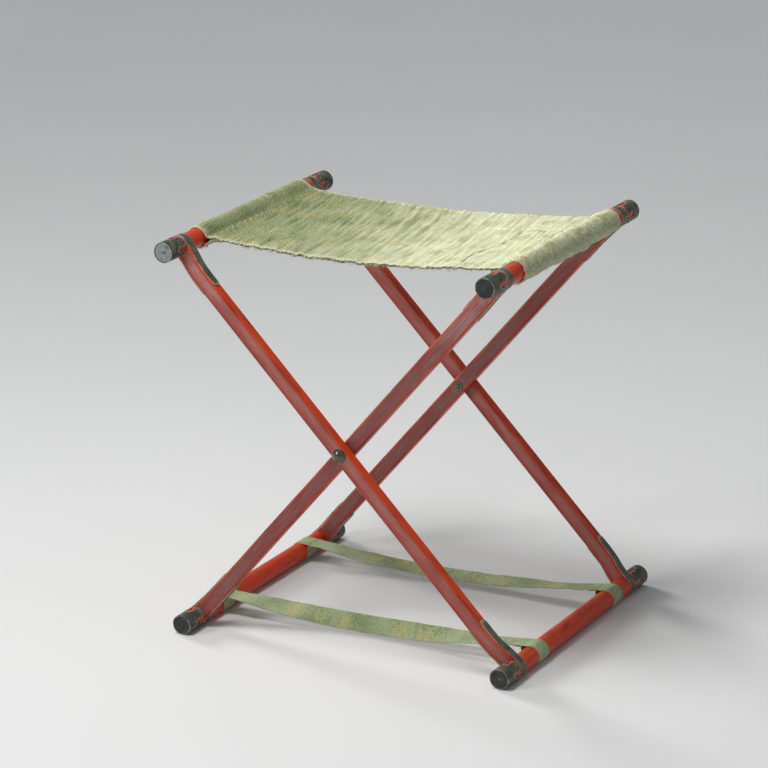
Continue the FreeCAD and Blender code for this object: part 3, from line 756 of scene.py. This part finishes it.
def teardrop(radius, reach, height, lift):
    """Loop round a rail at the origin, from the stitches underneath to the stitches on top."""
    low_tip, high_tip = (Vector((reach, height + way * lift)) for way in (-1, 1))
    low_angle = math.atan2(low_tip.y, low_tip.x) - math.acos(radius / low_tip.length)
    high_angle = math.atan2(high_tip.y, high_tip.x) + math.acos(radius / high_tip.length)
    ring = [radius * np.array((math.cos(a), math.sin(a)))
            for a in np.linspace(low_angle, high_angle - 2 * math.pi, LOOP_POINTS)]
    straight = np.linspace(0, 1, STRAIGHT_POINTS)
    under = [np.array(low_tip) * (1 - s) + ring[0] * s for s in straight[:-1]]
    over = [ring[-1] * (1 - s) + np.array(high_tip) * s for s in straight[1:-1]]
    return np.array(under + ring + over)


class SewnCloth:
    """Grid of points of a cloth between two rails: along the cloth first, then across it."""

    def __init__(self, rail_x, rail_z, seam_x, seam_z, thickness, across, sag, steps):
        self.half = thickness / 2
        self.across = np.array(across)
        lift = self.half + SEAM_GAP
        loop = teardrop(rail_radius + RAIL_GAP + self.half, rail_x - seam_x, seam_z - rail_z, lift)
        ring_x, ring_z = loop[:, 0] - rail_x, loop[:, 1] + rail_z
        span = np.linspace(-seam_x, seam_x, steps)
        flap = np.linspace(seam_x - FLAP, seam_x, FLAP_POINTS)[:-1]
        line_x = np.concatenate((-flap, ring_x, span, -ring_x[::-1], flap[::-1]))
        level = np.concatenate((flap * 0, ring_z, span * 0, ring_z[::-1], flap * 0))
        counts = (len(flap), len(loop), steps, len(loop), len(flap))
        part = np.repeat(("flap", "loop", "panel", "loop", "flap"), counts)
        self.loop = part == "loop"
        self.panel = part == "panel"
        self.share = line_x / seam_x
        drop = np.where(part == "flap", 2 * lift, 0)
        self.points = np.zeros((len(line_x), len(across), 3))
        for j, y in enumerate(across):
            hanging = seam_z + lift - drop - sag(y) * (1 - self.share ** 2)
            self.points[:, j, 0] = line_x
            self.points[:, j, 1] = y
            self.points[:, j, 2] = np.where(self.loop, level, hanging)
        centre = self.points[:, len(across) // 2]
        steps_along = np.linalg.norm(np.diff(centre, axis=0), axis=1)
        run = np.concatenate(((0,), np.cumsum(steps_along)))
        self.run = run - run[-1] / 2

    def length(self):
        return self.run[-1] - self.run[0]

    def seams(self):
        """First and last column of the panel."""
        columns = np.flatnonzero(self.panel)
        return int(columns[0]), int(columns[-1])

    def normals(self):
        out = np.cross(np.gradient(self.points, axis=0), np.gradient(self.points, axis=1))
        return out / np.linalg.norm(out, axis=2, keepdims=True)


print("a loop round a rail has", len(teardrop(rail_radius, 2 * rail_radius, 0, MM)), "points")


# %% [markdown]
# ## Thickness and edges
# The grid becomes a closed skin: the good side, a rounded edge, the lining side and the other rounded edge,
# with the cut ends filled in. A solidify modifier would do this too, but it can't thicken the hems on one
# side only or give good side, lining and edges their own finish.

# %% Give the cloth a thickness
ROUNDING = (0.25, 0.5, 0.75)
GOOD, INSIDE, EDGE = 0, 1, 2


def new_piece(name, points, faces, finishes):
    """A smooth piece in the scene, made of points and faces."""
    mesh = bpy.data.meshes.new(name)
    mesh.from_pydata(points, [], faces)
    mesh.polygons.foreach_set("use_smooth", [True] * len(faces))
    for finish in finishes:
        mesh.materials.append(finish.material)
    made = bpy.data.objects.new(name, mesh)
    bpy.context.collection.objects.link(made)
    return made


def skin_faces(rows, columns, around, loop):
    """Faces of the skin and the finish of each, for rings of points with the given number around."""
    bends = len(ROUNDING)
    faces, kinds = [], []
    for i in range(columns - 1):
        here, there = i * around, (i + 1) * around
        for k in range(around):
            after = (k + 1) % around
            faces.append((here + k, there + k, there + after, here + after))
            good, inside = k < rows or after == 0, rows + bends <= k < 2 * rows + bends - 1
            kinds.append(GOOD if good else INSIDE if inside or loop[i] else EDGE)
    for i in (0, columns - 1):
        ring = [i * around + k for k in range(around)]
        for j in range(rows - 1):
            mirror = 2 * rows + bends - 1 - j
            faces.append((ring[j], ring[j + 1], ring[mirror - 1], ring[mirror]))
        faces.append(ring[rows - 1:rows + bends + 1])
        faces.append(ring[2 * rows + bends - 1:] + ring[:1])
        kinds += [EDGE] * (rows + 1)
    return faces, kinds


def thick_cloth(name, cloth, under, finishes):
    """Closed mesh of a sewn cloth; under is how far the lining side lies below the middle."""
    out = cloth.normals()
    rows = len(cloth.across)
    top = cloth.points + out * cloth.half
    low = cloth.points - out * under[..., None]
    sweep = [(math.cos(math.pi * s), math.sin(math.pi * s)) for s in ROUNDING]
    edges = []
    for j, way in ((rows - 1, 1), (0, -1)):
        heart, half = (top[:, j] + low[:, j]) / 2, (top[:, j] - low[:, j]) / 2
        round_off = np.linalg.norm(half, axis=1, keepdims=True) * np.array((0, way, 0))
        edges.append([heart + half * upward + round_off * outward for upward, outward in sweep])
    back_edge, front_edge = np.stack(edges[0], 1), np.stack(edges[1][::-1], 1)
    rings = np.concatenate((top, back_edge, low[:, ::-1], front_edge), axis=1)
    columns, around = rings.shape[:2]
    back_flat, front_flat = ([y] * len(ROUNDING) for y in (cloth.across[-1] + MM, cloth.across[0] - MM))
    flat_across = np.concatenate((cloth.across, back_flat, cloth.across[::-1], front_flat))
    faces, kinds = skin_faces(rows, columns, around, cloth.loop)

    made = new_piece(name, rings.reshape(-1, 3).tolist(), faces, finishes)
    mesh = made.data
    mesh.polygons.foreach_set("material_index", kinds)
    corners = np.zeros(len(mesh.loops), dtype=np.int32)
    mesh.loops.foreach_get("vertex_index", corners)
    flat = np.stack((cloth.run[corners // around], flat_across[corners % around]), axis=1)
    mesh.uv_layers.new(name="flat").data.foreach_set("uv", flat.astype(np.float32).ravel())
    work = bmesh.new()
    work.from_mesh(mesh)
    bmesh.ops.recalc_face_normals(work, faces=work.faces)
    work.to_mesh(mesh)
    work.free()
    return made


print("cloth skins have", 2 + len(ROUNDING), "rounding steps at each edge")


# %% [markdown]
# ## Seat
# The panel dips between its stitches, more in the middle than at its edges, and a little more at the front
# than at the back. It starts as a smooth line between the rails, which the next steps crumple.

# %% Draw the seat between its rails
SEAT_CLOTH = 2.2 * MM
SEAT_ROWS, SEAT_STEPS = 130, 260
FRONT_SAG, LESS_AT_BACK, MORE_IN_MIDDLE = 9, 2.5, 20
seam_x = size("seat_panel")[0] / 2


def seat_sag(y):
    share = (y - seat_front) / (seat_back - seat_front)
    return (FRONT_SAG - LESS_AT_BACK * share + MORE_IN_MIDDLE * share * (1 - share)) * MM


seat_rows = np.linspace(seat_front, seat_back, SEAT_ROWS)
seat = SewnCloth(top_x, top_z, seam_x, top_z, SEAT_CLOTH, seat_rows, seat_sag, SEAT_STEPS)
u, v = np.meshgrid(seat.run, seat.across, indexing="ij")
past_seam = np.abs(u) - seam_x
to_edge = np.minimum(v - seat_front, seat_back - v)
print("seat grid of", len(seat.run), "by", len(seat.across), "points")

# %% [markdown]
# Years of sitting have left fine pleats along the rails, strongest behind the middle on the left, a few folds
# across, and a dent with a raised lip along the crack. Pleats are noise drawn out along the rails, and a fold
# is a line that fades at its ends. Sculpting by hand would do it as well, but can't be run again.

# %% Pleat and fold the panel
FOLD_FADE = 12 * MM
PLEAT_SKEW = 0.15


def ripple(grid_u, grid_v, length_u, length_v, seed):
    """Noise from -1 to 1 over a grid, with waves of the given lengths."""
    flat = zip((grid_u / length_u).ravel(), (grid_v / length_v).ravel())
    return np.array([noise.noise((a, b, seed)) for a, b in flat]).reshape(grid_u.shape)


def run_ripple(grid_u, length, seed):
    """Noise from -1 to 1 that varies along the cloth only."""
    return ripple(grid_u, grid_u * 0, length, 1, seed)


def bump(where, centre, width):
    """A round bump of height 1 at the centre."""
    return np.exp(-((where - centre) / width) ** 2)


def fold(where, centre, width, depth, start, end, along):
    """A shallow fold line across the grid, faded at its two ends."""
    fade = between(start, start + FOLD_FADE, along) * (1 - between(end - FOLD_FADE, end, along))
    return depth * bump(where, centre, width) * fade


skewed = u + PLEAT_SKEW * v
pleat_zone = bump(u, -32 * MM, 34 * MM) * bump(v, 78 * MM, 34 * MM)
pleats = ripple(skewed, v, 8 * MM, 90 * MM, 1.5) * (1.2 + 1.1 * pleat_zone) * MM
crests = 0.5 - 2 * np.abs(ripple(skewed, v, 7 * MM, 40 * MM, 4.5))
fine_pleats = crests * (0.9 + 0.5 * pleat_zone) * MM
swells = ripple(u, v, 60 * MM, 70 * MM, 7.5) * 1.3 * MM

wander = run_ripple(u, 24 * MM, 2.5) * 5 * MM - 43 * MM * between(-80 * MM, -seam_x, u)
broken = 0.55 + 0.9 * run_ripple(u, 17 * MM, 8.5)
folds = fold(v, 65 * MM + wander, 3.4 * MM, -0.9 * MM, -190 * MM, 150 * MM, u) * broken
folds += fold(v, 71 * MM + wander, 4 * MM, 0.7 * MM, -190 * MM, 150 * MM, u) * broken
folds += fold(v, -10 * MM + wander, 4 * MM, -0.5 * MM, -50 * MM, 50 * MM, u)
crack_line = CRACK_ACROSS + CRACK_BOW * np.cos((v - CRACK_CREST) * (2 * math.pi / CRACK_WAVE))
folds += fold(u, crack_line, 1.8 * MM, -0.7 * MM, -126 * MM, 66 * MM, v)
folds += fold(u, crack_line - 4 * MM, 2.4 * MM, 0.4 * MM, -126 * MM, 66 * MM, v)

inside = between(0, 14 * MM, -past_seam)
panel_relief = (pleats + fine_pleats + swells + folds) * inside
print("panel relief from", round(panel_relief.min() / MM, 1), "to", round(panel_relief.max() / MM, 1), "mm")

# %% [markdown]
# The left sleeve is gathered loosely, with a few folds round the rail, and the right one is crumpled. A
# groove lies beside the left seam and ridges swell between its stitches. Past the tuck where they end, the
# groove is filled. On the right the panel is drawn into pleats towards its seam.

# %% Gather the sleeves and draw in the seams
STITCH_PITCH = 12.5 * MM
TUCK = 20 * MM

gathers = np.clip(ripple(u, v, 13 * MM, 16 * MM, 9.5), 0, 1) * 0.8 * MM
crumple = ripple(u, v, 16 * MM, 11 * MM, 12.5) + 0.8 * ripple(u, v, 16 * MM, 5 * MM, 15.5)
crumple = np.clip(crumple, 0, 1) * 1.9 * MM
crumple += np.clip(ripple(u, v, 7 * MM, 4.5 * MM, 18.5), 0, 1) * 1.2 * MM
gathers += crumple * (u > 0) * between(3 * MM, 18 * MM, to_edge)
round_rail = np.clip(ripple(u, v + 0.5 * u, 34 * MM, 6 * MM, 19.5) + 0.2, 0, 1)
gathers += round_rail * 2.2 * MM * (u < 0) * bump(v, 44 * MM, 30 * MM)

groove = -3.6 * MM * bump(past_seam, 6.5 * MM, 4.2 * MM)
pulled = 0.6 * np.cos((v - seat_front - 6 * MM) * (2 * math.pi / STITCH_PITCH))
ridge = (0.9 + pulled) * MM * bump(past_seam, -2 * MM, 2.2 * MM)
ridge += (0.5 - 0.4 * pulled) * MM * bump(past_seam, -8 * MM, 2.2 * MM)
filled = between(16 * MM, 30 * MM, v) * bump(past_seam, 5 * MM, 5 * MM) * 3.2 * MM
pucker = -2.4 * MM * bump(past_seam, MM, 8 * MM) * bump(v, TUCK, 3.2 * MM)
drawn = ripple(u + 0.04 * v, v, 10 * MM, 140 * MM, 11.5) * 1.6 * MM * bump(past_seam, -8 * MM, 14 * MM)
seams = np.where(u < 0, groove + ridge + filled + pucker, drawn)
print("sleeves gathered by up to", round(gathers.max() / MM, 1), "mm")

# %% [markdown]
# The edges wander, are nibbled and curl a little, as frayed edges do, and a hem thickens them from below.
# The seat stands for three solids of the construction model, which are hidden.

# %% Fray the edges and make the seat
HEM_THICKER = 1.3 * MM
seat_span = ((-seam_x, 0, top_z), (seam_x, 0, top_z))

nibbled = run_ripple(u, 6 * MM, 6.5) * 0.5 + run_ripple(u, 3.2 * MM, 16.5) * 0.4
edge_shift = (run_ripple(u, 30 * MM, 3.5) * 1.2 + nibbled) * MM * between(16 * MM, 0, to_edge)
curled = run_ripple(u, 5 * MM, 17.5) * 0.35 * MM * inside * between(7 * MM, 0, to_edge)
seat_relief = panel_relief + gathers * seat.loop[:, None] + seams + curled
seat.points += seat.normals() * seat_relief[..., None]
seat.points[..., 1] += edge_shift

hem_share = between(7 * MM, 4 * MM, to_edge) * between(0, 10 * MM, -past_seam) * seat.panel[:, None]
hem_share = hem_share * (0.3 + 0.8 * bump(u, -30 * MM, 80 * MM)) * (1 + 0.4 * run_ripple(u, 12 * MM, 14.5))
under_seat = seat.half + HEM_THICKER * hem_share
seat_cloth = thick_cloth("seat_cloth", seat, under_seat, (seat_brocade, lining, hem))
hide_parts("seat_sleeve_left", "seat_panel", "seat_sleeve_right")
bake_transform(seat_cloth)
print("seat cloth", round(seat.length() / MM), "by", round((seat_back - seat_front) / MM), "mm flat,",
      len(seat_cloth.data.polygons), "faces")


# %% [markdown]
# ## Threads
# Stitches, loose threads and fine beads are thin tubes with a few sides, gathered in one mesh for each seam
# or edge. Curves with a bevel would look the same, but every tube would then be a piece of its own.

# %% Spin threads
TUBE_SIDES = 5


def threads_mesh(name, threads, radius, finish, taper=0.45):
    """One mesh of thin tubes; each thread is a list of points, and its ends taper."""
    points, faces = [], []
    for thread in threads:
        thread = [Vector(p) for p in thread]
        first = len(points)
        aside = (thread[1] - thread[0]).orthogonal()
        for step, here in enumerate(thread):
            ahead = (thread[min(step + 1, len(thread) - 1)] - thread[max(step - 1, 0)]).normalized()
            aside = (aside - ahead * aside.dot(ahead)).normalized()
            other = ahead.cross(aside)
            thin = taper if step in (0, len(thread) - 1) else 1.0
            for k in range(TUBE_SIDES):
                angle = 2 * math.pi * k / TUBE_SIDES
                points.append(here + (aside * math.cos(angle) + other * math.sin(angle)) * radius * thin)
        for step in range(len(thread) - 1):
            low = first + step * TUBE_SIDES
            for k in range(TUBE_SIDES):
                after = (k + 1) % TUBE_SIDES
                faces.append((low + k, low + after, low + after + TUBE_SIDES, low + k + TUBE_SIDES))
        last = first + (len(thread) - 1) * TUBE_SIDES
        faces.append([first + k for k in reversed(range(TUBE_SIDES))])
        faces.append([last + k for k in range(TUBE_SIDES)])
    return new_piece(name, [tuple(p) for p in points], faces, (finish,))


def thread_finish(name, dark, pale):
    finish = Finish(name, {"Sheen Weight": 0.2})
    twist = finish.cloud(finish.place, 1.6 * MM, 2)
    finish.tone = finish.mix(finish.rise(twist, 0.35, 0.6), dark, pale)
    finish.done(0.75 + twist * 0.2, twist, 0.1 * MM)
    return finish


stitch_thread = thread_finish("stitch thread", colour(166, 174, 126), colour(206, 211, 168))
loose_thread = thread_finish("loose thread", colour(118, 122, 84), colour(244, 242, 212))
print("threads have", TUBE_SIDES, "sides")

# %% [markdown]
# ## Stitches and fraying
# A row of pale stitches closes each loop of the seat. The left row ends at the tuck, and the right one lies
# on the sleeve. Tufts of short broken threads stand out of the cut edges. Hair particles would make these
# too, but they don't become plain geometry.

# %% Sew and fray the seat
STITCH_SHARES = (0, 0.2, 0.5, 0.8, 1)
FIRST_STITCH = 2 * MM
SEAT_STITCH = 9.5 * MM
TUFTS, TUFT_STRANDS = 320, 5
STRAND_RADIUS = 0.2 * MM


def stitches(name, cloth, column, end, body, pitch, long, radius, slant=0):
    """A row of stitches up to an end, along one column of the cloth's grid, on its good side."""
    top = cloth.points[column] + cloth.normals()[column] * (cloth.half + 0.15 * MM)
    rows = []
    for start in np.arange(cloth.across[0] + FIRST_STITCH, end - long - MM, pitch):
        stitch = []
        for share in STITCH_SHARES:
            y = start + long * share
            place = [np.interp(y, cloth.across, top[:, axis]) for axis in range(3)]
            lift = radius * (1.1 * math.sin(math.pi * share) - 0.2)
            stitch.append((place[0] + slant * (0.5 - share), y, place[2] + lift))
        rows.append(stitch)
    made = threads_mesh(name, rows, radius, stitch_thread)
    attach(made, body)
    return made


def fraying(name, cloth, row, way, seed):
    """Tufts of short broken threads along one edge of the cloth."""
    rng = np.random.RandomState(seed)
    strands = []
    for _ in range(TUFTS):
        column = rng.randint(2, len(cloth.run) - 2)
        tuft_lean = np.array((rng.uniform(-0.9, 0.9), way * rng.uniform(0.4, 1), rng.uniform(-0.9, 0.3)))
        tuft_long = rng.uniform(1.5, 4.8) * MM
        for _ in range(TUFT_STRANDS):
            root = cloth.points[column, row] + np.array(
                (rng.uniform(-1, 1), -way * rng.uniform(0.3, 1.5), rng.uniform(-1.2, 1.1))) * MM
            lean = tuft_lean + rng.uniform(-0.3, 0.3, 3)
            bend = np.array((rng.uniform(-1, 1), 0, rng.uniform(-1, 0.3)))
            long = tuft_long * rng.uniform(0.6, 1.1)
            strands.append([root + lean * long * s + bend * long * 0.5 * s * s for s in (0, 0.5, 1)])
    return threads_mesh(name, strands, STRAND_RADIUS, loose_thread)


left_seam, right_seam = seat.seams()
seat_threads = [
    stitches("seat_stitches_left", seat, left_seam + 1, TUCK, "outer_frame",
             STITCH_PITCH, SEAT_STITCH, radius=0.9 * MM, slant=MM),
    stitches("seat_stitches_right", seat, right_seam + 2, seat_back, "inner_frame",
             STITCH_PITCH, SEAT_STITCH, radius=1.1 * MM, slant=-MM),
]
for name, row, way, seed in (("seat_fray_front", 0, -1, 11), ("seat_fray_back", -1, 1, 10)):
    frayed = fraying(name, seat, row, way, seed)
    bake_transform(frayed)
    seat_threads.append(frayed)
print("seat has", len(seat_threads), "pieces of thread")


# %% [markdown]
# ## Floor ties
# Two straps of the same brocade, slack just above the floor. The front one lies tilted, with its front edge
# down, and turns flatter before it reaches the right rail. The back one hangs lower and almost level.
# They are the seat's cloth in a narrow size, turned about their length by an angle that changes on the way.

# %% Shape the ties
TIE_CLOTH = 0.85 * MM
TIE_ROWS, TIE_STEPS = 16, 150
SEAM_INSIDE = 12 * MM
SEAM_ABOVE = 9.5 * MM
TWIST_PLACE, TWIST_SPREAD = 0.72, 0.2
TIE_SEWING = {"pitch": 3.6 * MM, "long": 2.6 * MM, "radius": 0.3 * MM}


def tie(end, sag, tilt, twist, seed):
    """A tie that tilts by an angle in degrees in its middle and twists by another near the right rail."""
    left_loop, right_loop = ("tie_loop_%s_%s" % (end, side) for side in ("left", "right"))
    edge_front, edge_back = (corner[1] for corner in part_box(right_loop))
    tie_seam = floor_x - SEAM_INSIDE
    height = floor_z + SEAM_ABOVE
    across = np.linspace(edge_front, edge_back, TIE_ROWS)
    cloth = SewnCloth(floor_x, floor_z, tie_seam, height, TIE_CLOTH, across, lambda y: sag, TIE_STEPS)
    u, v = np.meshgrid(cloth.run, cloth.across, indexing="ij")
    share = cloth.share[:, None]
    lean = tilt * (1 - share ** 2) + twist * bump(share, TWIST_PLACE, TWIST_SPREAD)
    lean = np.radians(lean) * cloth.panel[:, None] * (1 - share ** 6)
    aside = v - (edge_front + edge_back) / 2
    cloth.points[..., 1] += aside * (np.cos(lean) - 1)
    cloth.points[..., 2] += aside * np.sin(lean)
    slack = between(0, 20 * MM, tie_seam - np.abs(cloth.points[..., 0])) * cloth.panel[:, None]
    waves = ripple(u, v, 22 * MM, 30 * MM, seed) * 0.9 + ripple(u, v, 7 * MM, 12 * MM, seed + 3) * 0.3
    cloth.points += cloth.normals() * (waves * MM * slack)[..., None]
    cloth.points[..., 1] += run_ripple(u, 40 * MM, seed + 5) * 1.2 * MM
    made = thick_cloth("tie_cloth_" + end, cloth, np.full(u.shape, cloth.half), (tie_brocade, lining, hem))
    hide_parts("floor_tie_" + end, left_loop, right_loop)
    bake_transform(made)
    left_seam, right_seam = cloth.seams()
    sewing = [
        stitches("tie_stitches_%s_left" % end, cloth, left_seam, edge_back, "inner_frame", **TIE_SEWING),
        stitches("tie_stitches_%s_right" % end, cloth, right_seam, edge_back, "outer_frame", **TIE_SEWING),
    ]
    print(end, "tie", round(cloth.length() / MM), "by", round((edge_back - edge_front) / MM), "mm flat")


tie("front", sag=9.5 * MM, tilt=40, twist=-14, seed=12.5)
tie("back", sag=13 * MM, tilt=14, twist=-10, seed=22.5)


# %% [markdown]
# ## Worn edges
# The cut edges of the caps and straps are rubbed pale, and in the photo they draw a thin light line round
# every tongue. A finish could brighten them only on a much finer mesh, so each sharp edge gets a fine bead.
# The edges are found by the angle between the two faces that meet there, and chained into lines. Marking them
# by hand would have to be done again after every change to the caps.

# %% Find the sharp edges
SHARP = math.radians(50)
SAME_PLACE = 0.001 * MM


def sharp_lines(name, keep):
    """Lines of points along the sharp edges of a piece, of those edges whose two ends are worth keeping."""
    work = bmesh.new()
    work.from_mesh(nodes[name].data)
    work.transform(nodes[name].matrix_world)
    bmesh.ops.remove_doubles(work, verts=work.verts, dist=SAME_PLACE)
    sharp = [edge for edge in work.edges
             if len(edge.link_faces) == 2 and edge.calc_face_angle() > SHARP
             and all(keep(end.co) for end in edge.verts)]
    left = set(sharp)
    lines = []
    for start in sharp:
        if start not in left:
            continue
        left.remove(start)
        line = list(start.verts)
        for _ in range(2):
            line.reverse()
            ahead = [edge for edge in line[-1].link_edges if edge in left]
            while len(ahead) == 1:
                left.remove(ahead[0])
                line.append(ahead[0].other_vert(line[-1]))
                ahead = [edge for edge in line[-1].link_edges if edge in left]
        lines.append([corner.co.copy() for corner in line])
    work.free()
    return lines


print(len(sharp_lines(straps[0], lambda place: True)), "sharp lines on", straps[0])

# %% [markdown]
# On the caps only the tongues get beads, because the rims have a chipped edge of their own. The beads under
# the floor rails are lifted, so that they rest on the floor.

# %% Line the cut edges
WORN_EDGE = colour(204, 178, 158)
FRAMES = {"outer_frame": ("top_left", "floor_right"), "inner_frame": ("top_right", "floor_left")}
CAP_BEAD, STRAP_BEAD = 0.3 * MM, 0.2 * MM
cap_radius = size("cap_sleeve_top_left_front")[0] / 2


def on_tongue(rail):
    """A test for places on the outside of a rail's caps, away from their rims."""
    rail_x, _, rail_z = middle("rail_" + rail)

    def test(place):
        away = math.hypot(place.x - rail_x, place.z - rail_z)
        return away > cap_radius - 0.1 * MM and abs(place.y) < rail_end - 2 * MM

    return test


edge_metal = Metal("worn edges", {"Metallic": 0.3})
edge_wear = edge_metal.rise(edge_metal.cloud(edge_metal.place, 6 * MM, 3), 0.36, 0.56)
edge_metal.tone = edge_metal.mix(edge_wear, IRON_GREEN, WORN_EDGE)
edge_metal.done(0.6 - edge_wear * 0.2)
for body, rails in FRAMES.items():
    cap_lines, strap_lines = [], []
    for rail in rails:
        for side in ("front", "back"):
            cap_lines += sharp_lines("cap_sleeve_%s_%s" % (rail, side), on_tongue(rail))
            strap_lines += sharp_lines("leg_strap_%s_%s" % (rail, side), lambda place: True)
    for kind, lines, radius in (("cap", cap_lines, CAP_BEAD), ("strap", strap_lines, STRAP_BEAD)):
        lines = [[(end.x, end.y, max(end.z, radius)) for end in line] for line in lines]
        beads = threads_mesh("%s_edges_%s" % (kind, body), lines, radius, edge_metal, taper=1.0)
        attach(beads, body)
        kind + "_metal"
        print(len(lines), "beads on the", kind, "edges of the", body)
